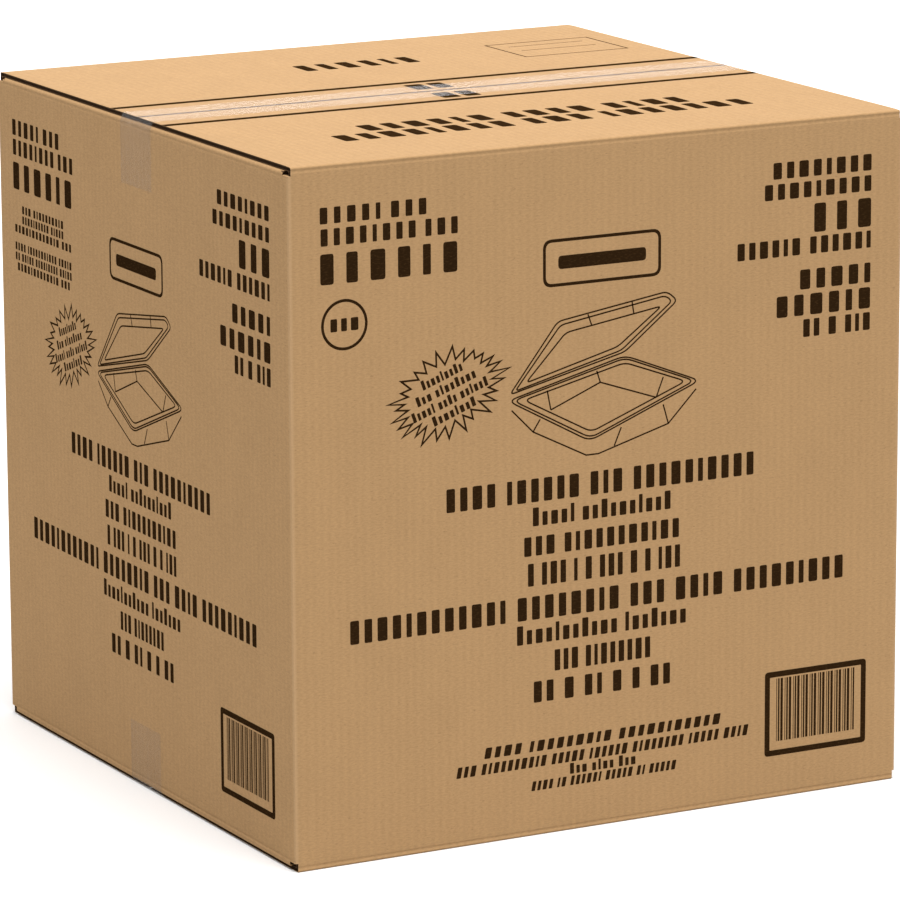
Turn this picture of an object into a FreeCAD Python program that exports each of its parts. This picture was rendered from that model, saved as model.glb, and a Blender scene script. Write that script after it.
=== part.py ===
import FreeCAD, Part
import math
import os

# A sealed slotted carton of corrugated board, in millimetres.
# It stands on z = 0 with its front panel facing -Y, and its flaps meet in a taped seam along X.

# Outer size of the folded board
carton_width = 495.0
carton_depth = 489.0
carton_height = 500.0

# Corrugated board: two paper liners with upright flutes between them
board_thickness = 3.0
liner_thickness = 0.25
open_flute_depth = 2.4

# Folds of the outer flaps: a round bead along the edge, and a shallow groove pressed into the panel
outer_bead_radius = 1.2
outer_groove_start = 1.3
outer_groove_end = 4.4
outer_groove_depth = 0.16

# Folds of the inner flaps: a fuller bead, which at the bottom sags beside the outer flap's edge
inner_bead_radius = 2.3
lower_bead_radius = 0.9
lower_bead_sag = 0.75
inner_groove_start = 2.4
inner_groove_end = 4.5
inner_groove_depth = 0.12

# Upright folds between the panels
corner_bead_radius = 1.4
corner_groove_start = 1.5
corner_groove_end = 3.5
corner_groove_depth = 0.08

# Inside of every fold
inner_fold_radius = 1.5

# Flaps, and the slots that part them at the corners
seam_gap = 1.6
inner_flap_gap = 7.0
flap_clearance = 0.5
slot_relief = 0.6
outer_flap_inset = 2.2
inner_flap_inset = 9.0

# The upper outer flaps rise from their folds to lie over the inner flaps
flap_rise = 0.2
rise_clearance = 0.3

# Glued joint at the back corner on the +X side
tab_width = 35.0
tab_taper = 12.0
joint_inset = 1.0

# Clear sealing tape over both seams
tape_width = 50.8
tape_thickness = 0.1
top_tape_leg = 51.0
bottom_tape_leg = 47.5


class Fold:
    """The outside of a fold, in distances inward from the panel's face and away from the flap's face."""

    def __init__(self, radius, groove_start, groove_end, groove_depth, sag=0.0, drop=0.0, level_start=None):
        bend = radius - sag
        slant = radius * math.sqrt(0.5)
        self.radius = radius
        self.skin = liner_thickness + groove_depth
        self.drop = drop
        self.level_start = level_start or board_thickness + inner_fold_radius
        self.reach = groove_end
        self.centre = (radius, drop + bend)
        self.bead = (
            (radius + math.sqrt(radius * radius - bend * bend), drop),
            (radius - slant, drop + bend - slant),
            (0.0, drop + bend),
        )
        self.groove = (
            (0.0, drop + groove_start),
            (groove_depth, drop + (groove_start + groove_end) / 2.0),
            (0.0, drop + groove_end),
        )

    def draw(self, outline):
        """Draw the bead and the groove, from the flap to the panel."""
        for start, middle, end in (self.bead, self.groove):
            outline.line_to(start)
            outline.arc_to(middle, end)


outer_groove = (outer_groove_start, outer_groove_end, outer_groove_depth)
inner_groove = (inner_groove_start, inner_groove_end, inner_groove_depth)
rise_end = inner_flap_inset - rise_clearance
outer_lower_fold = Fold(outer_bead_radius, *outer_groove)
outer_upper_fold = Fold(outer_bead_radius, *outer_groove, drop=flap_rise, level_start=rise_end)
inner_lower_fold = Fold(lower_bead_radius, *inner_groove, sag=lower_bead_sag)
inner_upper_fold = Fold(inner_bead_radius, *inner_groove)
corner_fold = Fold(corner_bead_radius, corner_groove_start, corner_groove_end, corner_groove_depth)

half_width = carton_width / 2.0
half_depth = carton_depth / 2.0
board_bottom = tape_thickness
board_top = board_bottom + carton_height

inner_flap_drop = board_thickness + flap_clearance
slot_end = inner_flap_drop + inner_bead_radius + slot_relief
corner_reach = corner_fold.reach + slot_relief
outer_flap_length = half_depth - seam_gap / 2.0
inner_flap_length = half_width - inner_flap_gap / 2.0
column_bottom = board_bottom + slot_end
column_height = carton_height - 2.0 * slot_end


class Outline:
    """A closed outline of lines and arcs, drawn point by point in a plane of the carton's frame."""

    def __init__(self, to_space, start):
        self.to_space = to_space
        self.start = start
        self.here = start
        self.edges = []

    def line_to(self, point):
        if point != self.here:
            self.edges.append(Part.LineSegment(self.to_space(*self.here), self.to_space(*point)).toShape())
            self.here = point

    def arc_to(self, middle, end):
        arc = Part.Arc(self.to_space(*self.here), self.to_space(*middle), self.to_space(*end))
        self.edges.append(arc.toShape())
        self.here = end

    def face(self):
        self.line_to(self.start)
        return Part.Face(Part.Wire(self.edges))


def on_circle(centre, radius, towards):
    """The point of a circle that lies in a given direction from its centre."""
    reach = math.hypot(*towards)
    return (centre[0] + radius * towards[0] / reach, centre[1] + radius * towards[1] / reach)


def between(centre, radius, first, second):
    """The middle of the shorter arc between two points of a circle."""
    middle = ((first[0] + second[0]) / 2.0 - centre[0], (first[1] + second[1]) / 2.0 - centre[1])
    return on_circle(centre, radius, middle)


def half_section(to_space, flap_length, middle, fold):
    """Section through a flap and half of its panel, up to the panel's middle."""
    corner = board_thickness + inner_fold_radius
    inside = board_thickness + inner_fold_radius * (1.0 - math.sqrt(0.5))
    outline = Outline(to_space, (flap_length, 0.0))
    outline.line_to((fold.level_start, 0.0))
    fold.draw(outline)
    outline.line_to((0.0, middle))
    outline.line_to((board_thickness, middle))
    outline.line_to((board_thickness, corner + fold.drop))
    outline.arc_to((inside, inside + fold.drop), (corner, board_thickness + fold.drop))
    outline.line_to((fold.level_start, board_thickness))
    outline.line_to((flap_length, board_thickness))
    return outline.face()


def flute_section(to_space, flap_length, slot_depth, fold):
    """Section of the hollow between the liners, from the slot's end round the fold to the flap's free edge."""
    far_side = board_thickness - liner_thickness
    outline = Outline(to_space, (fold.skin, slot_depth))
    outline.line_to((fold.skin, fold.drop + fold.radius))
    outline.line_to((fold.radius, fold.drop + liner_thickness))
    outline.line_to((fold.level_start, liner_thickness))
    outline.line_to((flap_length, liner_thickness))
    outline.line_to((flap_length, far_side))
    outline.line_to((fold.level_start, far_side))
    outline.line_to((far_side, far_side + fold.drop))
    outline.line_to((far_side, slot_depth))
    return outline.face()


def folded_panel(to_space, along, length, low, high, flap_length, slot_depth, lower_fold, upper_fold):
    """One panel with its lower and upper flap, with an open flute along each cut side edge of the flaps."""
    def from_below(inward, away):
        return to_space(inward, low + away)

    def from_above(inward, away):
        return to_space(inward, high - away)

    halves = []
    for end_to_space, fold in ((from_below, lower_fold), (from_above, upper_fold)):
        half = half_section(end_to_space, flap_length, (high - low) / 2.0, fold).extrude(along * length)
        near_flute = flute_section(end_to_space, flap_length, slot_depth, fold).extrude(along * open_flute_depth)
        far_flute = near_flute.copy()
        far_flute.translate(along * (length - open_flute_depth))
        halves.append(half.cut([near_flute, far_flute]))
    return halves[0].fuse(halves[1])


def outer_panel(side):
    """The front panel (side -1) or the back panel (side +1) with the outer flaps."""
    first_x = outer_flap_inset - half_width

    def to_space(inward, height):
        return FreeCAD.Vector(first_x, side * (half_depth - inward), height)

    length = carton_width - 2.0 * outer_flap_inset
    along = FreeCAD.Vector(1, 0, 0)
    sizes = (length, board_bottom, board_top, outer_flap_length, slot_end)
    panel = folded_panel(to_space, along, *sizes, outer_lower_fold, outer_upper_fold)
    end_length = corner_reach - outer_flap_inset
    end_y = min(side * half_depth, side * (half_depth - board_thickness))
    ends = []
    for end_x in (first_x, first_x + length - end_length):
        corner = FreeCAD.Vector(end_x, end_y, column_bottom)
        ends.append(Part.makeBox(end_length, board_thickness, column_height, corner))
    return panel.cut(ends)


def inner_panel(side):
    """The left panel (side -1) or the right panel (side +1) with the inner flaps, one board lower."""
    first_y = inner_flap_inset - half_depth

    def to_space(inward, height):
        return FreeCAD.Vector(side * (half_width - inward), first_y, height)

    length = carton_depth - 2.0 * inner_flap_inset
    along = FreeCAD.Vector(0, 1, 0)
    low = board_bottom + inner_flap_drop
    high = board_top - inner_flap_drop
    sizes = (length, low, high, inner_flap_length, slot_end - inner_flap_drop)
    return folded_panel(to_space, along, *sizes, inner_lower_fold, inner_upper_fold)


def upright_fold(side_x, side_y, corner_y, reach_x, reach_y):
    """An upright fold between two panels, standing between the ends of the slots."""
    def to_space(inward_y, inward_x):
        return FreeCAD.Vector(side_x * (half_width - inward_x), side_y * (corner_y - inward_y), column_bottom)

    outline = Outline(to_space, (reach_y, 0.0))
    corner_fold.draw(outline)
    outline.line_to((0.0, reach_x))
    outline.line_to((board_thickness, reach_x))
    outline.line_to((board_thickness, board_thickness))
    outline.line_to((reach_y, board_thickness))
    return outline.face().extrude(FreeCAD.Vector(0, 0, column_height))


def glued_joint():
    """The right panel's glue tab behind the back panel, whose raw edge closes the corner."""
    seat = half_depth - board_thickness
    fold_reach = corner_reach + board_thickness
    fold = upright_fold(1.0, 1.0, seat, fold_reach, inner_flap_inset - board_thickness)

    def to_space(inward, height):
        return FreeCAD.Vector(half_width - inward, seat - board_thickness, column_bottom + height)

    tab = Outline(to_space, (fold_reach, 0.0))
    tab.line_to((tab_width, tab_taper))
    tab.line_to((tab_width, column_height - tab_taper))
    tab.line_to((fold_reach, column_height))
    tab_plate = tab.face().extrude(FreeCAD.Vector(0, board_thickness, 0))

    edge_length = corner_reach - joint_inset
    edge_start = FreeCAD.Vector(half_width - corner_reach, seat, column_bottom)
    raw_edge = Part.makeBox(edge_length, board_thickness, column_height, edge_start)
    flute_width = board_thickness - 2.0 * liner_thickness
    flute_start = FreeCAD.Vector(half_width - joint_inset - open_flute_depth, seat + liner_thickness, column_bottom)
    flute = Part.makeBox(open_flute_depth, flute_width, column_height, flute_start)
    return fold.multiFuse([tab_plate, raw_edge]), flute


def folded_carton():
    """The whole carton, folded from one sheet."""
    joint, joint_flute = glued_joint()
    pieces = [inner_panel(-1.0), outer_panel(1.0), inner_panel(1.0), joint]
    for side_x, side_y in ((-1.0, -1.0), (1.0, -1.0), (-1.0, 1.0)):
        pieces.append(upright_fold(side_x, side_y, half_depth, corner_reach, inner_flap_inset))
    carton = outer_panel(-1.0).multiFuse(pieces).cut(joint_flute).removeSplitter()
    return carton.Solids[0] if len(carton.Solids) == 1 else carton


def tape_strip(face_height, upwards, leg_length, fold):
    """A strip of tape along a seam, drawn tight over the flap's edge and the fold, and down both side panels."""
    def left(inward, away):
        return FreeCAD.Vector(inward - half_width, -tape_width / 2.0, face_height - upwards * away)

    def right(inward, away):
        return FreeCAD.Vector(half_width - inward, -tape_width / 2.0, face_height - upwards * away)

    flap_edge = (outer_flap_inset, 0.0)
    bead_centre = (fold.centre[0], inner_flap_drop + fold.centre[1])
    run = (bead_centre[0] - flap_edge[0], bead_centre[1] - flap_edge[1])
    distance = math.hypot(*run)
    turn = math.asin(fold.radius / distance)
    tangent = math.sqrt(distance * distance - fold.radius * fold.radius)
    heading = math.atan2(run[1], run[0]) + turn
    touch = (flap_edge[0] + tangent * math.cos(heading), flap_edge[1] + tangent * math.sin(heading))
    facing = (touch[0] - bead_centre[0], touch[1] - bead_centre[1])
    outer_radius = fold.radius + tape_thickness
    outer_touch = on_circle(bead_centre, outer_radius, facing)
    panel_touch = (0.0, bead_centre[1])
    outer_panel_touch = (-tape_thickness, bead_centre[1])
    edge_side = on_circle(flap_edge, tape_thickness, facing)
    edge_top = (flap_edge[0], -tape_thickness)

    def half_strip(to_space):
        strip = Outline(to_space, (half_width, 0.0))
        strip.line_to(flap_edge)
        strip.line_to(touch)
        strip.arc_to(between(bead_centre, fold.radius, touch, panel_touch), panel_touch)
        strip.line_to((0.0, leg_length))
        strip.line_to((-tape_thickness, leg_length))
        strip.line_to(outer_panel_touch)
        strip.arc_to(between(bead_centre, outer_radius, outer_panel_touch, outer_touch), outer_touch)
        strip.line_to(edge_side)
        strip.arc_to(between(flap_edge, tape_thickness, edge_side, edge_top), edge_top)
        strip.line_to((half_width, -tape_thickness))
        return strip.face().extrude(FreeCAD.Vector(0, tape_width, 0))

    return half_strip(left).fuse(half_strip(right)).removeSplitter().Solids[0]


os.makedirs("parts", exist_ok=True)
parts = {
    "carton": folded_carton(),
    "top_tape": tape_strip(board_top, 1.0, top_tape_leg, inner_upper_fold),
    "bottom_tape": tape_strip(board_bottom, -1.0, bottom_tape_leg, inner_lower_fold),
}
for node, shape in parts.items():
    shape.exportStep("parts/" + node + ".step")
    print(node, len(shape.Solids), shape.isValid(), round(shape.Volume, 1))
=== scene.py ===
"""Looks of a sealed slotted carton: kraft board, clear sealing tape and one-colour print."""

import logging
import math
import random
from collections.abc import Iterable, Mapping, Sequence
from dataclasses import dataclass
from enum import Enum
from typing import Any

import bmesh
import bpy
from mathutils import Matrix, Vector


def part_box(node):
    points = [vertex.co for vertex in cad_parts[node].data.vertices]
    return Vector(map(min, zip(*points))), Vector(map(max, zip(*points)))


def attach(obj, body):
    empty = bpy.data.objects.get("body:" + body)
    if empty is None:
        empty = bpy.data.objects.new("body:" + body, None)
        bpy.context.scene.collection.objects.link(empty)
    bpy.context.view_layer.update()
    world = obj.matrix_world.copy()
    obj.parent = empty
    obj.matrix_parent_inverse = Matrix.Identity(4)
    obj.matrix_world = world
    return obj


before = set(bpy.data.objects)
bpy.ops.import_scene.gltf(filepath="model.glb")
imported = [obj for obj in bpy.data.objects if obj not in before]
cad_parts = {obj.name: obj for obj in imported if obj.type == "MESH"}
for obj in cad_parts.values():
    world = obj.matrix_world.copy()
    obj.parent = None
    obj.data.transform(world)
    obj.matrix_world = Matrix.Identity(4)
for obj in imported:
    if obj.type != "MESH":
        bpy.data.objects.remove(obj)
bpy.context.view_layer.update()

MM = 0.001
BODY = "root"

Point = tuple[float, float]
Span = tuple[float, float]
Colour = tuple[float, float, float]
Values = Mapping[Any, Any]

log = logging.getLogger("carton")


class Signal:
    """One output of a shader node, which takes part in arithmetic by adding Math nodes."""

    def __init__(self, shader: "Shader", socket: bpy.types.NodeSocket) -> None:
        """Hold the socket and the shader that new nodes go into."""
        self.shader = shader
        self.socket = socket

    def math(self, operation: str, *values: "Signal | float") -> "Signal":
        """Add one Math node.

        Args:
            operation: The node's operation.
            values: Its inputs, in order.

        Returns:
            The node's result.
        """
        node = self.shader.node("ShaderNodeMath", {"operation": operation}, dict(enumerate(values)))
        return Signal(self.shader, node.outputs[0])

    def __add__(self, other: "Signal | float") -> "Signal":
        """Add a value."""
        return self.math("ADD", self, other)

    def __radd__(self, other: float) -> "Signal":
        """Add to a number."""
        return self.math("ADD", other, self)

    def __sub__(self, other: "Signal | float") -> "Signal":
        """Take a value away."""
        return self.math("SUBTRACT", self, other)

    def __rsub__(self, other: float) -> "Signal":
        """Take this away from a number."""
        return self.math("SUBTRACT", other, self)

    def __mul__(self, other: "Signal | float") -> "Signal":
        """Multiply by a value."""
        return self.math("MULTIPLY", self, other)

    def __rmul__(self, other: float) -> "Signal":
        """Multiply a number by this."""
        return self.math("MULTIPLY", other, self)

    def __truediv__(self, other: "Signal | float") -> "Signal":
        """Divide by a value."""
        return self.math("DIVIDE", self, other)

    def __abs__(self) -> "Signal":
        """Drop the sign."""
        return self.math("ABSOLUTE", self)

    def above(self, limit: float) -> "Signal":
        """One where this is above a limit, and zero elsewhere."""
        return self.math("GREATER_THAN", self, limit)

    def between(self, low: float, high: float) -> "Signal":
        """One where this is above one limit but not above another, and zero elsewhere."""
        return self.above(low) * (1.0 - self.above(high))

    def either(self, other: "Signal") -> "Signal":
        """The larger of two values, such as masks."""
        return self.math("MAXIMUM", self, other)

    def sine(self) -> "Signal":
        """The sine of this, in radians."""
        return self.math("SINE", self)

    def fade(self, start: float, end: float, kind: str = "SMOOTHSTEP") -> "Signal":
        """Fade from zero at one value to one at another.

        Args:
            start: The value at which the result is zero.
            end: The value at which the result is one.
            kind: The way between them.

        Returns:
            The faded value.
        """
        settings = {"interpolation_type": kind, "clamp": True}
        inputs = {"Value": self, "From Min": start, "From Max": end, "To Min": 0.0, "To Max": 1.0}
        return self.shader.signal("ShaderNodeMapRange", settings, inputs)

    def blend(self, low: "Signal | float", high: "Signal | float") -> "Signal":
        """Pass from one value to another as this goes from zero to one."""
        return low + self * (high - low)


class Shader:
    """The node tree of a material or of the world."""

    def __init__(self, owner: bpy.types.Material | bpy.types.World) -> None:
        """Empty the owner's node tree."""
        owner.use_nodes = True
        self.tree = owner.node_tree
        self.tree.nodes.clear()

    def node(
        self, kind: str, settings: Values | None = None, inputs: Values | None = None
    ) -> bpy.types.ShaderNode:
        """Add a node.

        Args:
            kind: The node's type.
            settings: Its own settings, set first.
            inputs: Values or links by a socket's place, identifier or name.

        Returns:
            The new node.
        """
        node = self.tree.nodes.new(kind)
        for name, value in (settings or {}).items():
            setattr(node, name, value)
        for key, value in (inputs or {}).items():
            self._feed(self._socket(node, key), value)
        return node

    def signal(self, kind: str, settings: Values | None = None, inputs: Values | None = None) -> Signal:
        """Add a node and return its first output that is in use."""
        node = self.node(kind, settings, inputs)
        return Signal(self, next(output for output in node.outputs if output.enabled))

    def place(self) -> tuple[Signal, Signal, Signal]:
        """The place on the object, in millimetres."""
        return self._parts(self.scaled(self._coordinate("Object"), 1.0 / MM))

    def facing(self) -> tuple[Signal, Signal, Signal]:
        """The direction in which the surface faces."""
        return self._parts(self._coordinate("Normal"))

    def vector(self, x: Signal | float, y: Signal | float, z: Signal | float) -> Signal:
        """Join three numbers into a vector."""
        return self.signal("ShaderNodeCombineXYZ", None, {0: x, 1: y, 2: z})

    def colours(self, factor: Signal, low: Colour | Signal, high: Colour | Signal) -> Signal:
        """Mix two colours.

        Args:
            factor: Zero for the first colour, and one for the second.
            low: The first colour.
            high: The second colour.

        Returns:
            The mixed colour.
        """
        inputs = {"Factor_Float": factor, "A_Color": low, "B_Color": high}
        node = self.node("ShaderNodeMix", {"data_type": "RGBA", "clamp_factor": True}, inputs)
        return Signal(self, next(output for output in node.outputs if output.identifier == "Result_Color"))

    def scaled(self, vector: Signal, factor: Signal | float) -> Signal:
        """Scale a vector or a colour by a number."""
        inputs = {"Vector": vector, "Scale": factor}
        return self.signal("ShaderNodeVectorMath", {"operation": "SCALE"}, inputs)

    def noise(self, place: Signal, scale: float, detail: float, roughness: float = 0.5) -> Signal:
        """Add a noise pattern.

        Args:
            place: The place at which it is read.
            scale: Its features for each unit of length.
            detail: Its octaves.
            roughness: The strength of the finer octaves.

        Returns:
            The pattern, about 0.5 on average.
        """
        settings = {"noise_dimensions": "3D", "normalize": True}
        inputs = {"Vector": place, "Scale": scale, "Detail": detail, "Roughness": roughness}
        return self.signal("ShaderNodeTexNoise", settings, inputs)

    def surface(self, inputs: Values) -> None:
        """Send a plain surface to the material's output."""
        surface = self.signal("ShaderNodeBsdfPrincipled", None, inputs)
        self.node("ShaderNodeOutputMaterial", None, {"Surface": surface})

    def _coordinate(self, name: str) -> Signal:
        """One of the texture coordinates."""
        return Signal(self, self.node("ShaderNodeTexCoord").outputs[name])

    def _parts(self, vector: Signal) -> tuple[Signal, Signal, Signal]:
        """Split a vector into its three numbers."""
        node = self.node("ShaderNodeSeparateXYZ", None, {0: vector})
        x, y, z = (Signal(self, output) for output in node.outputs)
        return x, y, z

    def _feed(self, socket: bpy.types.NodeSocket, value: Any) -> None:
        """Link a socket, or set its value."""
        if isinstance(value, Signal):
            self.tree.links.new(value.socket, socket)
        elif socket.type == "RGBA":
            socket.default_value = (*value, 1.0)
        else:
            socket.default_value = value

    @staticmethod
    def _socket(node: bpy.types.ShaderNode, key: int | str) -> bpy.types.NodeSocket:
        """Find an input by its place, its identifier or its name."""
        if isinstance(key, int):
            return node.inputs[key]
        return next(socket for socket in node.inputs if key in (socket.identifier, socket.name))


@dataclass(frozen=True)
class BoardBox:
    """The outside of the closed board, in millimetres."""

    low: Vector
    high: Vector

    @classmethod
    def of(cls, node: str) -> "BoardBox":
        """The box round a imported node."""
        low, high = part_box(node)
        return cls(low / MM, high / MM)

    @property
    def size(self) -> Vector:
        """Its length along each axis."""
        return self.high - self.low

    @property
    def middle(self) -> float:
        """The level half-way up."""
        return (self.low.z + self.high.z) / 2.0

    def depth(self, z: Signal) -> Signal:
        """The distance below the top face or, in the lower half, above the bottom face."""
        return (self.high.z - self.middle) - abs(z - self.middle)


@dataclass(frozen=True)
class BoardWeave:
    """The grain of corrugated board: flutes that show through the liner, and the paper's fibres."""

    flute_pitch: float = 6.54
    flute_height: float = 0.035
    fibre_size: float = 1.1
    fibre_stretch: float = 2.6
    fibre_detail: float = 4.0
    fibre_roughness: float = 0.62
    fibre_height: float = 0.02
    cloud_size: float = 26.0
    cloud_stretch: float = 0.6
    cloud_detail: float = 2.0
    cloud_step: float = 11.0
    side_step: float = 3.0
    flap_step: float = 7.0
    upright: float = 0.7

    def square(self, facing: Signal) -> Signal:
        """One on the faces that lie square to an axis, from the way they face along it."""
        return abs(facing).above(self.upright)

    def directions(self, shader: Shader) -> tuple[Signal, Signal, Signal]:
        """Directions on the folded sheet.

        Args:
            shader: The shader that reads them.

        Returns:
            Millimetres across the flutes, millimetres along them, and a number for each panel.
        """
        x, y, z = shader.place()
        facing_x, _, facing_z = shader.facing()
        side = self.square(facing_x)
        flap = self.square(facing_z)
        return side.blend(x, y), flap.blend(z, y), side * self.side_step + flap * self.flap_step

    def flutes(self, across: Signal) -> Signal:
        """The wave of the flutes, from -1 to 1."""
        return (across * (math.tau / self.flute_pitch)).sine()

    def fibres(self, shader: Shader, across: Signal, along: Signal, panel: Signal) -> Signal:
        """Fine fibres, which lie across the flutes."""
        place = shader.vector(across / self.fibre_stretch, along, panel)
        return shader.noise(place, 1.0 / self.fibre_size, self.fibre_detail, self.fibre_roughness)

    def clouds(self, shader: Shader, across: Signal, along: Signal, panel: Signal) -> Signal:
        """Slow changes in the colour of the paper."""
        place = shader.vector(across, along * self.cloud_stretch, panel + self.cloud_step)
        return shader.noise(place, 1.0 / self.cloud_size, self.cloud_detail)

    def normal(
        self, shader: Shader, flutes: Signal, fibres: Signal, strength: float, relief: Signal | float = 0.0
    ) -> Signal:
        """Light falls on the waves and fibres as on a relief.

        Args:
            shader: The shader that uses it.
            flutes: The wave of the flutes.
            fibres: The fibres.
            strength: The share of the relief that shows.
            relief: More relief, in millimetres.

        Returns:
            The normal to light the surface with.
        """
        height = flutes * self.flute_height + (fibres - 0.5) * self.fibre_height + relief
        return shader.signal("ShaderNodeBump", None, {"Strength": strength, "Distance": MM, "Height": height})


@dataclass(frozen=True)
class KraftBoard:
    """Brown kraft liner on corrugated board, with painted shade in its cut edges, slot gaps and seam, and
    rubbed pale paper with a painted highlight on its upright folds.
    """

    weave: BoardWeave
    box: BoardBox
    pale: Colour = (0.586, 0.358, 0.1725)
    brown: Colour = (0.506, 0.305, 0.144)
    pale_fibres: Span = (0.30, 0.70)
    speck: Colour = (0.27, 0.155, 0.075)
    speck_fibres: Span = (0.66, 0.74)
    speck_cover: float = 0.35
    speck_scale: float = 0.9
    speck_stretch: float = 3.0
    speck_detail: float = 2.0
    speck_step: float = 23.0
    # Paler rubbed paper and a painted highlight along the upright folds.
    wear_and_highlight: Colour = (0.66, 0.43, 0.235)
    wear_and_highlight_cover: float = 0.25
    wear_and_highlight_fibres: float = 0.35
    wear_and_highlight_reach: Span = (1.19, 3.4)
    # The colour of the painted shade in the open flutes, the slot gaps and the seam.
    painted_shade: Colour = (0.11, 0.062, 0.032)
    flute_shade: float = 0.018
    cloud_shade: float = 0.10
    roughness: float = 0.86
    fibre_gloss: float = 0.16
    specular: float = 0.05
    crease_start: float = 1.3
    crease_width: float = 3.6
    crease_step: float = 4.4
    crease_depth: float = 0.2
    hollow_start: float = 2.1
    hollow_end: float = 4.7
    hollow_skin: float = 0.22
    hollow_floor: float = 3.3
    slot_end: float = 6.5
    bend: float = 1.35
    rise: float = 0.2
    rise_end: float = 8.7
    seam_shade_reach: float = 2.1
    gap_back: Span = (8.9, 11.5)
    gap_depth: Span = (3.7, 6.3)
    gap_inset: float = 0.5

    def material(self) -> bpy.types.Material:
        """Build the material.

        Returns:
            The material of the carton's board.
        """
        material = bpy.data.materials.new("kraft_board")
        shader = Shader(material)
        across, along, panel = self.weave.directions(shader)
        flutes = self.weave.flutes(across)
        fibres = self.weave.fibres(shader, across, along, panel)
        clouds = self.weave.clouds(shader, across, along, panel)
        liner = shader.colours(fibres.fade(*self.pale_fibres), self.brown, self.pale)
        liner = shader.scaled(liner, 1.0 + flutes * self.flute_shade + (clouds - 0.5) * self.cloud_shade)
        specks = self._specks(shader, across, along, panel)
        liner = shader.colours(specks * self.speck_cover, liner, self.speck)
        # Rubbed pale paper and a painted highlight lighten the upright folds.
        wear_and_highlight = self._fold_wear_and_highlight(shader) * (self.wear_and_highlight_cover + fibres * self.wear_and_highlight_fibres)
        liner = shader.colours(wear_and_highlight, liner, self.wear_and_highlight)
        # Painted shade darkens the open flutes, the slot gaps and the seam.
        painted_shade_mask = self._cut_edge_shade(shader).either(self._seam_shade(shader))
        inputs = {
            "Base Color": shader.colours(painted_shade_mask, liner, self.painted_shade),
            "Roughness": self.roughness - fibres * self.fibre_gloss,
            "Specular IOR Level": self.specular,
            "Normal": self.weave.normal(shader, flutes, fibres, 1.0, self._creases(shader)),
        }
        shader.surface(inputs)
        return material

    def _specks(self, shader: Shader, across: Signal, along: Signal, panel: Signal) -> Signal:
        """Sparse dark fibres in the liner."""
        place = shader.vector(across / self.speck_stretch, along, panel + self.speck_step)
        return shader.noise(place, self.speck_scale, self.speck_detail).fade(*self.speck_fibres)

    def _fold_wear_and_highlight(self, shader: Shader) -> Signal:
        """Paper rubbed pale along the upright folds between the panels, with a painted highlight."""
        x, y, _ = shader.place()
        reach = (self.box.high.x - abs(x)).either(self.box.high.y - abs(y))
        return 1.0 - reach.fade(*self.wear_and_highlight_reach)

    def _creases(self, shader: Shader) -> Signal:
        """The relief of the grooves pressed into the panels beside their flaps' folds, in millimetres."""
        _, _, z = shader.place()
        facing_x, facing_y, _ = shader.facing()
        side = self.weave.square(facing_x)
        panel = side.either(self.weave.square(facing_y))
        away = (self.box.depth(z) - self.crease_start - side * self.crease_step) / self.crease_width
        wave = 0.5 - 0.5 * (away * math.tau + math.pi / 2.0).sine()
        return panel * away.between(0.0, 1.0) * wave * -self.crease_depth

    def _cut_edge_shade(self, shader: Shader) -> Signal:
        """Painted shade in the open flute of each outer flap, and in the gap over each inner flap's end."""
        x, y, z = shader.place()
        inward = self.box.high.x - abs(x)
        back = self.box.high.y - abs(y)
        risen = z.above(self.box.middle) * self.rise * (1.0 - back.fade(0.0, self.rise_end, "LINEAR"))
        depth = self.box.depth(z) - risen
        side = inward.between(self.hollow_start, self.hollow_end)
        inner = back.math("MINIMUM", back, depth).above(self.hollow_skin) * (back + depth).above(self.bend)
        flap = 1.0 - depth.above(self.hollow_floor)
        panel = (1.0 - back.above(self.hollow_floor)) * (1.0 - depth.above(self.slot_end))
        gap = inward.above(self.gap_inset) * back.between(*self.gap_back) * depth.between(*self.gap_depth)
        return (side * inner * flap.either(panel)).either(gap)

    def _seam_shade(self, shader: Shader) -> Signal:
        """Painted shade along the seam where the outer flaps meet."""
        _, y, z = shader.place()
        facing_x, _, _ = shader.facing()
        flap = (1.0 - self.weave.square(facing_x)) * (1.0 - self.box.depth(z).above(self.hollow_floor))
        return flap * (1.0 - abs(y).above(self.seam_shade_reach))


@dataclass(frozen=True)
class PrintInk:
    """Water-based ink that has sunk into the liner, thin where the fibres stand up."""

    weave: BoardWeave
    solid: Colour = (0.031, 0.015, 0.0055)
    thin: Colour = (0.072, 0.038, 0.014)
    thin_fibres: Span = (0.48, 0.78)
    roughness: float = 0.9
    relief: float = 0.6

    def material(self) -> bpy.types.Material:
        """Build the material.

        Returns:
            The material of the print.
        """
        material = bpy.data.materials.new("print_ink")
        shader = Shader(material)
        across, along, panel = self.weave.directions(shader)
        flutes = self.weave.flutes(across)
        fibres = self.weave.fibres(shader, across, along, panel)
        inputs = {
            "Base Color": shader.colours(fibres.fade(*self.thin_fibres), self.solid, self.thin),
            "Roughness": self.roughness,
            "Specular IOR Level": 0.0,
            "Normal": self.weave.normal(shader, flutes, fibres, self.relief),
        }
        shader.surface(inputs)
        return material


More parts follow.
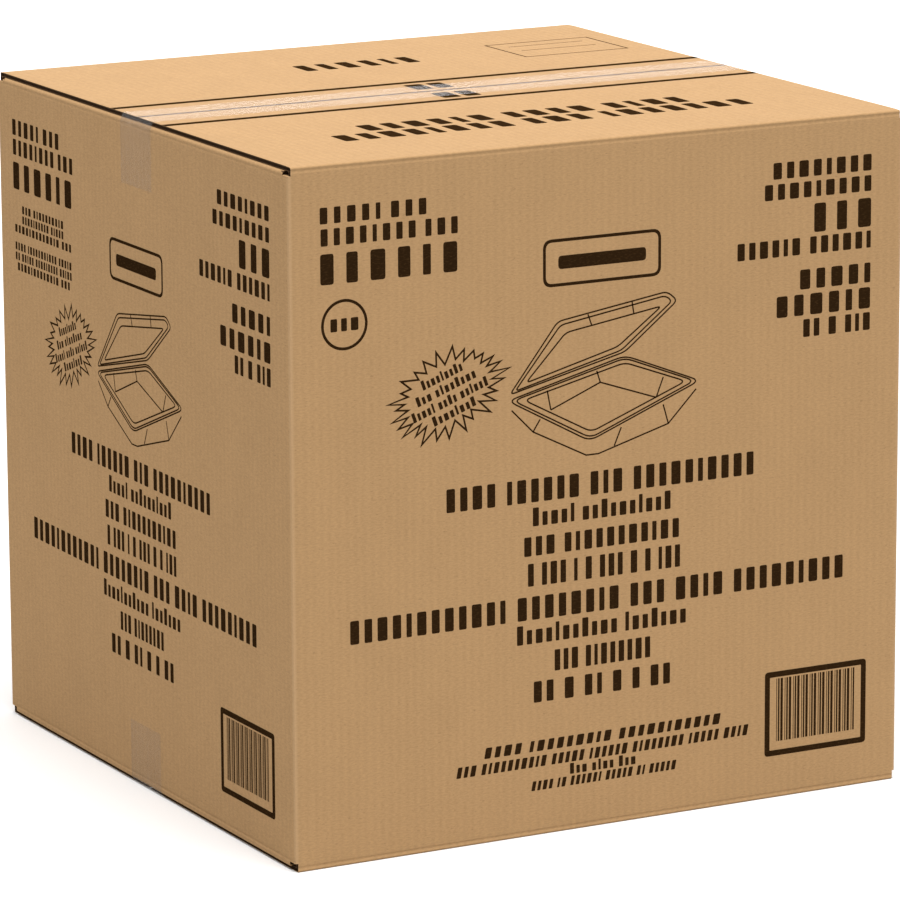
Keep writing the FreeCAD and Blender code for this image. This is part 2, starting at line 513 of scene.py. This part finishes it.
@dataclass(frozen=True)
class ClearTape:
    """Clear film with fine streaks along its length, of which only the outer face shows on the flaps; its
    level faces carry a pale painted reflection.
    """

    weave: BoardWeave
    box: BoardBox
    film: Colour = (0.28, 0.28, 0.28)
    # A pale base colour for the level faces: a painted reflection of the bright surroundings.
    painted_reflection: Colour = (0.93, 0.93, 0.93)
    cover: float = 0.105
    painted_reflection_cover: float = 0.115
    streak_cover: float = 0.09
    streak_width: float = 2.6
    streak_length: float = 700.0
    streak_detail: float = 2.0
    streak_contrast: float = 0.6
    relief: float = 0.008
    roughness: float = 0.24
    streak_roughness: float = 0.12
    refraction: float = 1.5
    half_film: float = 0.05

    def material(self) -> bpy.types.Material:
        """Build the material.

        Returns:
            The material of the tape.
        """
        material = bpy.data.materials.new("clear_tape")
        shader = Shader(material)
        across, _, panel = self.weave.directions(shader)
        x, y, z = shader.place()
        _, _, facing_z = shader.facing()
        place = shader.vector(y / self.streak_width, (x - z) / self.streak_length, panel)
        streaks = shader.noise(place, 1.0, self.streak_detail, self.streak_contrast)
        height = (self.weave.flutes(across) + streaks - 0.5) * self.relief
        level = self.weave.square(facing_z)
        outside = 1.0 - self.box.depth(z).above(-self.half_film)
        cover = level.blend(self.cover, self.painted_reflection_cover) + (streaks - 0.5) * self.streak_cover
        inputs = {
            # Level faces take the painted reflection's colour; upright faces keep the film's own colour.
            "Base Color": shader.colours(level, self.film, self.painted_reflection),
            "Roughness": self.roughness + streaks * self.streak_roughness,
            "IOR": self.refraction,
            "Alpha": cover * level.blend(1.0, outside),
            "Normal": shader.signal("ShaderNodeBump", None, {"Distance": MM, "Height": height}),
        }
        shader.surface(inputs)
        return material


class Face(Enum):
    """A face of the carton, with its upper left corner and its reading directions to the right and down."""

    FRONT = ((-1, -1, 1), (1, 0, 0), (0, 0, -1))
    LEFT = ((-1, 1, 1), (0, -1, 0), (0, 0, -1))
    RIGHT = ((1, -1, 1), (0, 1, 0), (0, 0, -1))
    TOP = ((-1, 1, 1), (1, 0, 0), (0, -1, 0))
    BOTTOM = ((-1, -1, -1), (1, 0, 0), (0, 1, 0))

    @property
    def rightwards(self) -> Vector:
        """The direction in which print is read."""
        return Vector(self.value[1])

    @property
    def downwards(self) -> Vector:
        """The direction from one line of print to the next."""
        return Vector(self.value[2])

    def corner(self, box: BoardBox) -> Vector:
        """The face's upper left corner."""
        return Vector((box.low if side < 0 else box.high)[axis] for axis, side in enumerate(self.value[0]))


class InkSheet:
    """Print on one face: flat closed shapes that are let into the liner and stand just proud of it."""

    sunk: float = 0.02
    proud: float = 0.03
    sharpest: float = 0.3
    slot: str = "print_ink"

    def __init__(self, face: Face, box: BoardBox) -> None:
        """Start an empty sheet on a face of the board."""
        self.origin = face.corner(box)
        self.rightwards = face.rightwards
        self.downwards = face.downwards
        self.outwards = face.downwards.cross(face.rightwards)
        self.mesh = bmesh.new()

    def plate(self, outline: Sequence[Point]) -> None:
        """Print one solid shape within an outline."""
        upper, lower = self._rings(outline)
        self.mesh.faces.new(upper)
        self.mesh.faces.new(list(reversed(lower)))
        self._wall(upper, lower, True)

    def band(self, outer: Sequence[Point], inner: Sequence[Point], closed: bool = True) -> None:
        """Print the strip between two lines.

        Args:
            outer: The points of one line.
            inner: The points of the other line, as many as the first has.
            closed: Whether the strip ends where it starts.
        """
        outer_rings = self._rings(outer)
        inner_rings = self._rings(inner)
        for first, second in zip(outer_rings, inner_rings):
            self._wall(first, second, closed)
        self._wall(*outer_rings, closed)
        self._wall(*inner_rings, closed)
        if not closed:
            for end in (0, -1):
                (a, b), (c, d) = ((ring[end] for ring in rings) for rings in (outer_rings, inner_rings))
                self.mesh.faces.new((a, b, d, c))

    def line(self, points: Sequence[Point], width: float, closed: bool = False) -> None:
        """Print a line of even width, with mitred corners.

        Args:
            points: The corners of its middle.
            width: Its width.
            closed: Whether it joins up.
        """
        sides = [self._mitre(points, index, closed) * (width / 2.0) for index in range(len(points))]
        outer = [(u + side.x, v + side.y) for (u, v), side in zip(points, sides)]
        inner = [(u - side.x, v - side.y) for (u, v), side in zip(points, sides)]
        self.band(outer, inner, closed)

    def build(self, name: str, finish: bpy.types.Material) -> bpy.types.Object:
        """Make the printed piece.

        Args:
            name: The piece's name.
            finish: Its material.

        Returns:
            The piece, which rides on the carton.
        """
        bmesh.ops.recalc_face_normals(self.mesh, faces=self.mesh.faces)
        data = bpy.data.meshes.new(name)
        self.mesh.to_mesh(data)
        self.mesh.free()
        data.materials.append(finish)
        piece = bpy.data.objects.new(name, data)
        bpy.context.scene.collection.objects.link(piece)
        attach(piece, BODY)
        log.info("%s: %d faces", name, len(data.polygons))
        return piece

    def _rings(self, outline: Sequence[Point]) -> tuple[list[bmesh.types.BMVert], list[bmesh.types.BMVert]]:
        """The corners of an outline at the top and at the bottom of the ink."""
        upper, lower = (
            [self.mesh.verts.new(self._place(u, v, rise)) for u, v in outline]
            for rise in (self.proud, -self.sunk)
        )
        return upper, lower

    def _place(self, u: float, v: float, rise: float) -> Vector:
        """A point of the sheet in the carton's frame, in metres."""
        return (self.origin + self.rightwards * u + self.downwards * v + self.outwards * rise) * MM

    def _wall(self, first: Sequence[Any], second: Sequence[Any], closed: bool) -> None:
        """Join two rings of corners with faces."""
        count = len(first)
        for index in range(count if closed else count - 1):
            following = (index + 1) % count
            self.mesh.faces.new((first[index], first[following], second[following], second[index]))

    @staticmethod
    def _mitre(points: Sequence[Point], index: int, closed: bool) -> Vector:
        """The sideways step at a corner of a line, for a line of half-width one."""
        count = len(points)
        here = Vector(points[index])
        before = Vector(points[index - 1]) if closed or index > 0 else None
        after = Vector(points[(index + 1) % count]) if closed or index < count - 1 else None
        runs = [(b - a).normalized() for a, b in ((before, here), (here, after)) if a and b]
        sides = [Vector((-run.y, run.x)) for run in runs]
        middle = sum(sides, Vector((0.0, 0.0))).normalized()
        return middle / max(middle.dot(sides[0]), InkSheet.sharpest)


class LinerSheet(InkSheet):
    """Liner that is drawn a hair's breadth into the tape stuck on it, lower than the print."""

    proud: float = 0.015
    slot: str = "kraft_board"


def rounded(corners: Sequence[Point], radius: float, steps: int = 4) -> list[Point]:
    """Round the corners of an outline.

    Args:
        corners: The sharp corners, in order.
        radius: The distance from a corner at which its curve starts.
        steps: The straight pieces in each curve.

    Returns:
        The points of the rounded outline.
    """
    points: list[Point] = []
    count = len(corners)
    for index, corner in enumerate(corners):
        here = Vector(corner)
        start, end = (
            here + (Vector(corners[(index + way) % count]) - here).normalized() * radius for way in (-1, 1)
        )
        for step in range(steps + 1):
            part = step / steps
            point = start * (1.0 - part) ** 2 + here * (2.0 * part * (1.0 - part)) + end * part**2
            points.append((point.x, point.y))
    return points


def oblong(left: float, right: float, top: float, bottom: float) -> list[Point]:
    """The corners of an upright rectangle."""
    return [(left, top), (right, top), (right, bottom), (left, bottom)]


def turned(u: float, v: float, degrees: float, centre: Point) -> Point:
    """The point at a step from a centre, once the step is turned."""
    cosine, sine = math.cos(math.radians(degrees)), math.sin(math.radians(degrees))
    return (centre[0] + u * cosine + v * sine, centre[1] + v * cosine - u * sine)


@dataclass(frozen=True)
class Area:
    """A motif that fills an upright rectangle."""

    left: float
    right: float
    top: float
    bottom: float

    @property
    def height(self) -> float:
        """How tall it is."""
        return self.bottom - self.top

    def outline(self, border: float = 0.0) -> list[Point]:
        """Its corners, drawn in by a border."""
        return oblong(self.left + border, self.right - border, self.top + border, self.bottom - border)


class Case(Enum):
    """How tall the marks of a row stand: all alike, or low with a few tall ones."""

    CAPITALS = (1.0,)
    SMALL = (1.0, 0.74, 0.74, 0.74, 1.0, 0.74, 0.74)


@dataclass(frozen=True)
class WordRow(Area):
    """A row of plain marks in the place of a line of print."""

    words: tuple[int, ...]
    case: Case = Case.CAPITALS
    turn: float = 0.0
    lean: float = 0.0
    widths: tuple[float, ...] = (1.0, 0.86, 1.12, 0.94, 0.6, 1.06, 0.9)
    gap: float = 0.6
    word_gap: float = 1.4
    curve: float = 0.16
    curve_steps: int = 2

    def print_on(self, sheet: InkSheet) -> None:
        """Print the row."""
        pace = (self.right - self.left) / self._length()
        middle = ((self.left + self.right) / 2.0, (self.top + self.bottom) / 2.0)
        place = self.left
        count = 0
        for letters in self.words:
            for _ in range(letters):
                width = self.widths[count % len(self.widths)] * pace
                rise = self.height * self.case.value[count % len(self.case.value)]
                mark = oblong(place, place + width, self.bottom - rise, self.bottom)
                curved = rounded(mark, min(width, rise) * self.curve, self.curve_steps)
                sheet.plate([self._turned(point, middle) for point in curved])
                place += width + self.gap * pace
                count += 1
            place += (self.word_gap - self.gap) * pace

    def _length(self) -> float:
        """The row's length, counted in widths of a plain mark."""
        marks = sum(self.words)
        wide = sum(self.widths[index % len(self.widths)] for index in range(marks))
        breaks = len(self.words) - 1
        return wide + self.gap * (marks - 1 - breaks) + self.word_gap * breaks

    def _turned(self, point: Point, middle: Point) -> Point:
        """Lean and turn a point about the middle of the row."""
        v = point[1] - middle[1]
        return turned(point[0] - middle[0] - v * self.lean, v, self.turn, middle)


@dataclass(frozen=True)
class Ring:
    """A ring with three plain marks across it."""

    centre: Point
    radius: float
    line: float = 2.1
    corners: int = 56
    marks: int = 3
    marks_reach: float = 0.6
    marks_height: float = 0.42

    def print_on(self, sheet: InkSheet) -> None:
        """Print the ring and its marks."""
        u, v = self.centre
        turns = [math.tau * index / self.corners for index in range(self.corners)]
        outer, inner = (
            [(u + reach * math.cos(turn), v + reach * math.sin(turn)) for turn in turns]
            for reach in (self.radius, self.radius - self.line)
        )
        sheet.band(outer, inner)
        half = self.radius * self.marks_reach
        tall = half * self.marks_height
        WordRow(u - half, u + half, v - tall, v + tall, (self.marks,)).print_on(sheet)


@dataclass(frozen=True)
class Burst:
    """A ragged star outline round four short slanting rows."""

    centre: Point
    half_width: float
    half_height: float
    turn: float = 20.0
    spikes: int = 27
    line: float = 1.4
    seed: int = 5
    shake: float = 0.22
    peaks: Span = (0.86, 1.06)
    dips: Span = (0.66, 0.74)
    row_height: float = 0.24
    row_step: float = 0.31
    row_reach: tuple[float, ...] = (0.34, 0.5, 0.64, 0.36)
    row_words: tuple[tuple[int, ...], ...] = ((9,), (3, 8), (5, 4, 6), (8,))

    def print_on(self, sheet: InkSheet) -> None:
        """Print the star and its rows."""
        draw = random.Random(self.seed)
        points = []
        for index in range(2 * self.spikes):
            turn = math.tau * (index + draw.uniform(-self.shake, self.shake)) / (2 * self.spikes)
            reach = draw.uniform(*(self.peaks if index % 2 else self.dips))
            points.append(self._placed(reach * math.cos(turn), reach * math.sin(turn)))
        sheet.line(points, self.line, True)
        for index, (reach, words) in enumerate(zip(self.row_reach, self.row_words)):
            down = (index - (len(self.row_reach) - 1) / 2.0) * self.row_step
            middle = self._placed(0.0, down)
            half = reach * self.half_width
            tall = self.row_height * self.half_height / 2.0
            row = (middle[0] - half, middle[0] + half, middle[1] - tall, middle[1] + tall)
            WordRow(*row, words, Case.SMALL, self.turn).print_on(sheet)

    def _placed(self, across: float, down: float) -> Point:
        """A point of the star, from shares of its half-width and half-height."""
        return turned(across * self.half_width, down * self.half_height, self.turn, self.centre)


@dataclass(frozen=True)
class LabelField(Area):
    """A plain rounded frame with a plain bar in it."""

    line: float = 2.3
    curve: float = 7.0
    inner_curve: float = 5.0
    curve_steps: int = 6
    bar_inset: float = 0.36
    bar_curve: float = 0.08
    bar_steps: int = 3

    def print_on(self, sheet: InkSheet) -> None:
        """Print the frame and the bar."""
        outer = rounded(self.outline(), self.curve, self.curve_steps)
        sheet.band(outer, rounded(self.outline(self.line), self.inner_curve, self.curve_steps))
        bar = self.outline(self.height * self.bar_inset)
        sheet.plate(rounded(bar, self.height * self.bar_curve, self.bar_steps))


@dataclass(frozen=True)
class BarField(Area):
    """Upright bars of mixed widths in a heavy rounded frame."""

    border: float = 4.3
    curve: float = 3.0
    inner_curve: float = 0.6
    bars: int = 29
    margin: float = 5.5
    margin_above: float = 1.2
    margin_below: float = 6.5
    thinned: float = 0.2

    def print_on(self, sheet: InkSheet) -> None:
        """Print the frame and the bars."""
        sheet.band(rounded(self.outline(), self.curve), rounded(self.outline(self.border), self.inner_curve))
        place = self.left + self.border + self.margin
        last = self.right - self.border - self.margin
        steps = [(1 + (3 * index * index + index) % 3, 1 + (index * 5) % 3 % 2) for index in range(self.bars)]
        unit = (last - place) / (sum(wide + space for wide, space in steps) - steps[-1][1])
        upper = self.top + self.border + self.margin_above
        lower = self.bottom - self.border - self.margin_below
        for wide, space in steps:
            sheet.plate(oblong(place, place + (wide - self.thinned) * unit, upper, lower))
            place += (wide + space) * unit


@dataclass(frozen=True)
class TrayPicture:
    """A plain line picture of an open tray with its lid up, seen over one corner."""

    left: float
    top: float
    width: float
    line: float = 1.1
    curve_steps: int = 5

    def print_on(self, sheet: InkSheet) -> None:
        """Print the picture: first its rounded frames, each with its curve, and then the lines between."""
        lid = (0.03, (-0.03, 0.42), (0.24, 0.08), (0.86, -0.01), (0.92, 0.04), (0.62, 0.27))
        lid_edge = (0.025, (0.0, 0.405), (0.255, 0.10), (0.85, 0.01), (0.89, 0.04), (0.60, 0.26))
        lid_panel = (0.03, (0.06, 0.37), (0.285, 0.14), (0.83, 0.06), (0.58, 0.24))
        rim = (0.05, (-0.04, 0.45), (0.42, 0.70), (1.05, 0.46), (0.62, 0.29))
        rim_edge = (0.045, (-0.01, 0.452), (0.425, 0.685), (1.02, 0.458), (0.62, 0.302))
        opening = (0.04, (0.05, 0.455), (0.43, 0.655), (0.97, 0.455), (0.62, 0.325))
        for curve, *outline in (lid, lid_edge, lid_panel, rim, rim_edge, opening):
            sheet.line(rounded(self._placed(outline), curve * self.width, self.curve_steps), self.line, True)
        folds = (
            ((-0.02, 0.50), (0.10, 0.62), (0.40, 0.77), (0.47, 0.77), (0.87, 0.66), (1.03, 0.50)),
            ((0.20, 0.52), (0.48, 0.41), (0.80, 0.52)),
            ((0.20, 0.52), (0.18, 0.42)),
            ((0.48, 0.41), (0.46, 0.35)),
            ((0.80, 0.52), (0.84, 0.42)),
            ((0.41, 0.06), (0.43, 0.115)),
            ((0.66, 0.02), (0.67, 0.08)),
            ((0.10, 0.62), (0.14, 0.56)),
            ((0.56, 0.74), (0.60, 0.65)),
            ((0.87, 0.66), (0.84, 0.56)),
        )
        for fold in folds:
            sheet.line(self._placed(fold), self.line)

    def _placed(self, points: Iterable[Point]) -> list[Point]:
        """Points of the picture, from shares of its width."""
        return [(self.left + u * self.width, self.top + v * self.width) for u, v in points]


@dataclass(frozen=True)
class AddressBox(Area):
    """A thin rectangle with two writing lines in it."""

    line: float = 1.5
    inset: float = 0.14
    levels: Span = (0.24, 0.55)
    writing_line: float = 0.7

    def print_on(self, sheet: InkSheet) -> None:
        """Print the rectangle and its lines."""
        sheet.band(self.outline(), self.outline(self.line))
        inset = (self.right - self.left) * self.inset
        for share in self.levels:
            level = self.top + self.height * share
            lower = level + self.line * self.writing_line
            sheet.plate(oblong(self.left + inset, self.right - inset, level, lower))


@dataclass(frozen=True)
class GuideLine:
    """A dark line along the whole seam, which shows where the tape goes."""

    level: float
    left: float
    right: float
    width: float = 7.4

    def print_on(self, sheet: InkSheet) -> None:
        """Print the line."""
        half = self.width / 2.0
        sheet.plate(oblong(self.left, self.right, self.level - half, self.level + half))


Motif = WordRow | Ring | Burst | LabelField | BarField | TrayPicture | AddressBox | GuideLine


def rows(*lines: tuple[Any, ...], **options: Any) -> tuple[WordRow, ...]:
    """Several rows of marks.

    Args:
        lines: For each row its left and right end, top and bottom, and the marks in each word.
        options: Anything else that the rows share.

    Returns:
        The rows.
    """
    return tuple(WordRow(*line[:4], line[4:], **options) for line in lines)


@dataclass
class PanelPrint:
    """All the print on one face, in named groups."""

    face: Face
    box: BoardBox
    groups: dict[str, tuple[Motif, ...]]

    def build(self, finish: bpy.types.Material) -> list[bpy.types.Object]:
        """Print every group.

        Args:
            finish: The ink's material.

        Returns:
            The printed pieces.
        """
        pieces = []
        for name, motifs in self.groups.items():
            sheet = InkSheet(self.face, self.box)
            for motif in motifs:
                motif.print_on(sheet)
            pieces.append(sheet.build(f"{self.face.name.lower()}_{name}", finish))
        return pieces


def front_groups() -> dict[str, tuple[Motif, ...]]:
    """The print of the front panel, measured from its upper left corner."""
    heading = rows((24.0, 106.5, 30.0, 41.5, 5, 3), (24.5, 131.0, 45.0, 57.0, 8, 3), gap=0.85)
    contents = rows(
        (386.5, 469.0, 30.0, 42.0, 8),
        (379.5, 469.0, 45.5, 57.0, 9),
        (357.0, 469.0, 86.0, 98.5, 6, 6),
        (409.5, 469.0, 109.5, 124.0, 5),
        (390.0, 469.0, 127.5, 143.0, 6),
        (412.5, 469.0, 146.0, 159.0, 2, 1, 3),
    )
    figures = rows((24.0, 130.5, 62.5, 84.0, 6), (421.0, 469.0, 62.0, 83.0, 3), gap=0.95)
    titles = rows(
        (121.0, 371.5, 238.5, 255.5, 4, 6, 3, 10),
        (183.0, 309.5, 280.5, 294.5, 3, 11),
        (186.0, 310.5, 300.0, 316.5, 1, 3, 1, 1, 3, 1, 1, 3),
        (44.5, 448.0, 324.0, 341.0, 12, 8, 3, 4, 9),
        (207.5, 286.0, 365.0, 380.5, 3, 8),
        (190.5, 302.5, 386.5, 402.0, 2, 1, 2, 1, 1, 2),
    )
    subtitles = rows(
        (190.0, 302.5, 259.5, 273.0, 5, 10), (177.0, 315.5, 344.5, 358.5, 11, 7), case=Case.SMALL
    )
    footer = rows(
        (151.0, 344.5, 430.0, 438.0, 4, 9, 11),
        (128.5, 368.0, 441.5, 449.5, 3, 10, 5, 6, 8, 5, 4),
        (189.0, 307.5, 460.0, 467.0, 4, 2, 6, 5, 2, 5),
        lean=0.2,
    )
    footer += rows((220.0, 274.0, 450.5, 458.5, 3, 4, 3), case=Case.SMALL)
    return {
        "heading": heading + figures[:1],
        "contents": contents + figures[1:],
        "titles": titles + subtitles,
        "footer": footer,
        "ring": (Ring((42.2, 113.0), 18.0),),
        "label": (LabelField(198.5, 294.0, 68.5, 102.5),),
        "burst": (Burst((122.5, 170.0), 49.0, 30.0),),
        "tray": (TrayPicture(176.0, 116.0, 143.0),),
        "bars": (BarField(382.5, 469.0, 405.0, 468.5),),
    }


def left_groups() -> dict[str, tuple[Motif, ...]]:
    """The print of the left panel, measured from its upper left corner."""
    heading = rows((25.0, 109.0, 32.0, 44.0, 5, 3), (25.5, 133.0, 47.0, 59.0, 8, 3), gap=0.75)
    figures = rows((25.0, 130.0, 64.5, 85.0, 6), (411.5, 459.0, 62.0, 82.0, 3), gap=0.8)
    notes = rows(
        (40.0, 114.5, 96.5, 102.5, 3, 10),
        (40.0, 114.5, 104.2, 110.2, 10, 5),
        (26.5, 128.0, 112.0, 118.0, 13, 3),
        (26.5, 128.0, 125.5, 131.5, 4, 11, 5),
        (26.5, 128.0, 133.2, 139.2, 2, 5, 9, 5),
        (30.0, 124.5, 141.0, 147.0, 13, 3),
    )
    contents = rows(
        (377.5, 459.0, 31.5, 42.0, 8),
        (370.0, 459.0, 46.5, 57.0, 9),
        (347.5, 459.0, 86.0, 98.0, 6, 6),
        (399.5, 459.0, 109.0, 122.5, 5),
        (380.0, 459.0, 127.5, 142.0, 6),
        (402.5, 459.0, 145.5, 158.5, 2, 1, 3),
    )
    titles = rows(
        (122.5, 359.0, 254.0, 270.0, 4, 6, 3, 10),
        (181.0, 301.0, 293.5, 307.0, 3, 11),
        (183.5, 301.5, 312.5, 327.5, 1, 3, 1, 1, 3, 1, 1, 3),
        (50.0, 431.5, 334.0, 350.5, 12, 8, 3, 4, 9),
        (204.0, 278.0, 374.0, 388.0, 3, 8),
        (188.0, 294.0, 394.0, 408.5, 2, 1, 2, 1, 1, 2),
    )
    subtitles = rows(
        (188.0, 294.0, 274.0, 286.5, 5, 10), (175.5, 306.5, 355.0, 367.5, 11, 7), case=Case.SMALL
    )
    return {
        "heading": heading + figures[:1],
        "notes": notes,
        "contents": contents + figures[1:],
        "titles": titles + subtitles,
        "label": (LabelField(196.0, 286.5, 94.0, 125.5),),
        "burst": (Burst((123.0, 189.0), 46.5, 28.5),),
        "tray": (TrayPicture(175.0, 139.0, 135.0),),
        "bars": (BarField(371.5, 458.0, 407.0, 469.5),),
    }


def top_groups(left: float, right: float, seam: float) -> dict[str, tuple[Motif, ...]]:
    """The print of the top flaps.

    Args:
        left: The left end of the flaps, measured as print is.
        right: Their right end.
        seam: The seam's distance from the back edge.

    Returns:
        The groups of print.
    """
    guide_distance = 43.3
    date_near, date_far = 9.5, 33.5
    handling = rows(
        (119.0, 381.5, 356.5, 381.0, 6, 4, 4),
        (84.0, 416.5, 387.5, 412.5, 8, 3, 7),
        gap=0.66,
    )
    dates = rows(
        (234.0, 265.0, seam - date_far, seam - date_near, 2),
        (234.0, 265.0, seam + date_near, seam + date_far, 2),
        gap=0.3,
    )
    return {
        "guides": tuple(GuideLine(seam + side * guide_distance, left, right) for side in (-1.0, 1.0)),
        "handling": handling,
        "number": rows((204.0, 300.5, 87.5, 115.0, 6), gap=0.9),
        "dates": dates,
        "address": (AddressBox(380.5, 471.5, 67.5, 135.0),),
    }


@dataclass
class FoldedCarton:
    """The folded board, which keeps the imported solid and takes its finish."""

    node: str
    finish: bpy.types.Material

    def build(self) -> bpy.types.Object:
        """Dress the board and return its node."""
        return dress(self.node, self.finish)


@dataclass
class SealingTape:
    """The two strips of tape over the seams."""

    nodes: tuple[str, ...]
    tape: ClearTape

    def build(self) -> list[bpy.types.Object]:
        """Dress the strips and return their nodes."""
        finish = self.tape.material()
        return [dress(node, finish) for node in self.nodes]


@dataclass(frozen=True)
class TapeBed:
    """The liner under both strips of tape, wherever they are stuck down."""

    box: BoardBox
    half_width: float = 25.3
    half_seam: float = 0.8
    flap_inset: float = 2.3
    upper_leg: Span = (6.0, 51.0)
    lower_leg: Span = (4.0, 47.5)

    def build(self, finish: bpy.types.Material) -> list[bpy.types.Object]:
        """Lay the liner.

        Args:
            finish: The board's material.

        Returns:
            One piece for each face.
        """
        middle = self.box.high.y
        ends = (self.flap_inset, self.box.size.x - self.flap_inset)
        sides = (middle - self.half_width, middle + self.half_width)
        flaps = (
            oblong(*ends, sides[0], middle - self.half_seam),
            oblong(*ends, middle + self.half_seam, sides[1]),
        )
        lower_end, lower_start = (self.box.size.z - reach for reach in self.lower_leg)
        legs = (oblong(*sides, *self.upper_leg), oblong(*sides, lower_start, lower_end))
        faces = {Face.TOP: flaps, Face.BOTTOM: flaps, Face.LEFT: legs, Face.RIGHT: legs}
        pieces = []
        for face, outlines in faces.items():
            sheet = LinerSheet(face, self.box)
            for outline in outlines:
                sheet.plate(outline)
            pieces.append(sheet.build(f"{face.name.lower()}_tape_bed", finish))
        return pieces


def dress(node: str, finish: bpy.types.Material) -> bpy.types.Object:
    """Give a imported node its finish, and return it."""
    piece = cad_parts[node]
    for slot in piece.material_slots:
        slot.material = finish
    log.info("%s: %s", piece.name, finish.name)
    return piece


@dataclass(frozen=True)
class SoftLamp:
    """A wide lamp far away, so that it lights a face evenly."""

    name: str
    azimuth: float
    elevation: float
    strength: float
    spread: float

    def build(self) -> None:
        """Hang the lamp."""
        data = bpy.data.lights.new(self.name, "SUN")
        data.energy = self.strength
        data.angle = math.radians(self.spread)
        hang(data, away_from(self.azimuth, self.elevation))


def away_from(azimuth: float, elevation: float) -> Vector:
    """The direction from the object to a viewer at an azimuth and elevation in degrees."""
    turn, rise = math.radians(azimuth), math.radians(elevation)
    return Vector((math.sin(turn) * math.cos(rise), -math.cos(turn) * math.cos(rise), math.sin(rise)))


def hang(data: bpy.types.Light, towards: Vector) -> bpy.types.Object:
    """Hang a lamp that shines from a direction."""
    lamp = bpy.data.objects.new(data.name, data)
    lamp.rotation_mode = "QUATERNION"
    lamp.rotation_quaternion = towards.to_track_quat("Z", "Y")
    bpy.context.scene.collection.objects.link(lamp)
    return lamp


@dataclass(frozen=True)
class GlossPanel:
    """A bright panel behind the carton, low down, which glossy film reflects."""

    azimuth: float = 151.7
    elevation: float = 14.0
    distance: float = 5.0
    width: float = 2.6
    height: float = 1.0
    level: float = 0.5
    power: float = 40.0

    def build(self) -> None:
        """Stand the panel."""
        data = bpy.data.lights.new("gloss_panel", "AREA")
        data.shape = "RECTANGLE"
        data.size, data.size_y = self.width, self.height
        data.energy = self.power
        towards = away_from(self.azimuth, self.elevation)
        hang(data, towards).location = towards * self.distance + Vector((0.0, 0.0, self.level))


@dataclass(frozen=True)
class Studio:
    """A white studio: a plain floor, an even sky and soft lamps."""

    sky: float = 0.36
    floor_reach: float = 30.0
    floor_seen: float = 1.0
    floor_bounce: float = 0.565

    def build(self, lamps: Iterable[SoftLamp | GlossPanel]) -> None:
        """Set up the world, the floor and the lamps."""
        self._light_sky()
        self._lay_floor()
        for lamp in lamps:
            lamp.build()

    def _light_sky(self) -> None:
        """A white background for the camera and gloss, and an even sky for everything else."""
        world = bpy.data.worlds.new("white_studio")
        bpy.context.scene.world = world
        shader = Shader(world)
        seen = self._seen(shader)
        strength = self.sky + seen * (1.0 - self.sky)
        inputs = {"Color": (1.0, 1.0, 1.0), "Strength": strength}
        sky = shader.signal("ShaderNodeBackground", None, inputs)
        shader.node("ShaderNodeOutputWorld", None, {"Surface": sky})

    def _lay_floor(self) -> None:
        """A wide plain floor that keeps the carton's shadow."""
        material = bpy.data.materials.new("pale_floor")
        shader = Shader(material)
        seen = self._seen(shader)
        colour = shader.colours(seen, (self.floor_bounce,) * 3, (self.floor_seen,) * 3)
        inputs = {"Base Color": colour, "Roughness": 1.0, "Specular IOR Level": 0.0}
        shader.surface(inputs)
        mesh = bmesh.new()
        bmesh.ops.create_grid(mesh, x_segments=1, y_segments=1, size=self.floor_reach)
        data = bpy.data.meshes.new("floor")
        mesh.to_mesh(data)
        mesh.free()
        data.materials.append(material)
        floor = bpy.data.objects.new("floor", data)
        bpy.context.scene.collection.objects.link(floor)

    @staticmethod
    def _seen(shader: Shader) -> Signal:
        """One for what the camera sees, straight or in a glossy or clear surface."""
        path = shader.node("ShaderNodeLightPath")
        camera, glossy, clear = (
            Signal(shader, path.outputs[name])
            for name in ("Is Camera Ray", "Is Glossy Ray", "Is Transmission Ray")
        )
        return camera.either(glossy.either(clear))


@dataclass(frozen=True)
class StudioCamera:
    """A camera with a long lens, aimed at a point of the carton."""

    azimuth: float = -28.091
    elevation: float = 12.656
    roll: float = -0.295
    distance: float = 4.22937
    lens: float = 226.524
    sensor: float = 36.0
    clip: Span = (0.1, 100.0)
    aim: tuple[float, float, float] = (0.00327, -0.00702, 0.22929)

    def build(self) -> bpy.types.Object:
        """Set up the camera.

        Returns:
            The scene's camera.
        """
        data = bpy.data.cameras.new("camera")
        data.lens = self.lens
        data.sensor_width = self.sensor
        data.clip_start, data.clip_end = self.clip
        camera = bpy.data.objects.new("camera", data)
        back = away_from(self.azimuth, self.elevation)
        level = back.to_track_quat("Z", "Y").to_matrix()
        rolled = level @ Matrix.Rotation(math.radians(self.roll), 3, "Z")
        camera.rotation_mode = "QUATERNION"
        camera.rotation_quaternion = rolled.to_quaternion()
        camera.location = Vector(self.aim) + back * self.distance
        bpy.context.scene.collection.objects.link(camera)
        bpy.context.scene.camera = camera
        return camera


def main() -> None:
    """Build the carton's looks and the studio round it."""
    logging.basicConfig(level=logging.INFO, format="%(name)s %(message)s")
    bpy.context.scene.view_settings.view_transform = "Standard"
    box = BoardBox.of("carton")
    weave = BoardWeave()
    ink = PrintInk(weave).material()
    StudioCamera().build()
    board = KraftBoard(weave, box).material()
    FoldedCarton("carton", board).build()
    TapeBed(box).build(board)
    SealingTape(("top_tape", "bottom_tape"), ClearTape(weave, box)).build()
    flap_inset = 2.2
    top = top_groups(flap_inset, box.size.x - flap_inset, box.high.y)
    for face, groups in ((Face.FRONT, front_groups()), (Face.LEFT, left_groups()), (Face.TOP, top)):
        PanelPrint(face, box, groups).build(ink)
    overhead = SoftLamp("overhead", azimuth=-10.0, elevation=76.0, strength=3.4, spread=50.0)
    Studio().build((overhead, GlossPanel()))


if __name__ == "__main__":
    main()
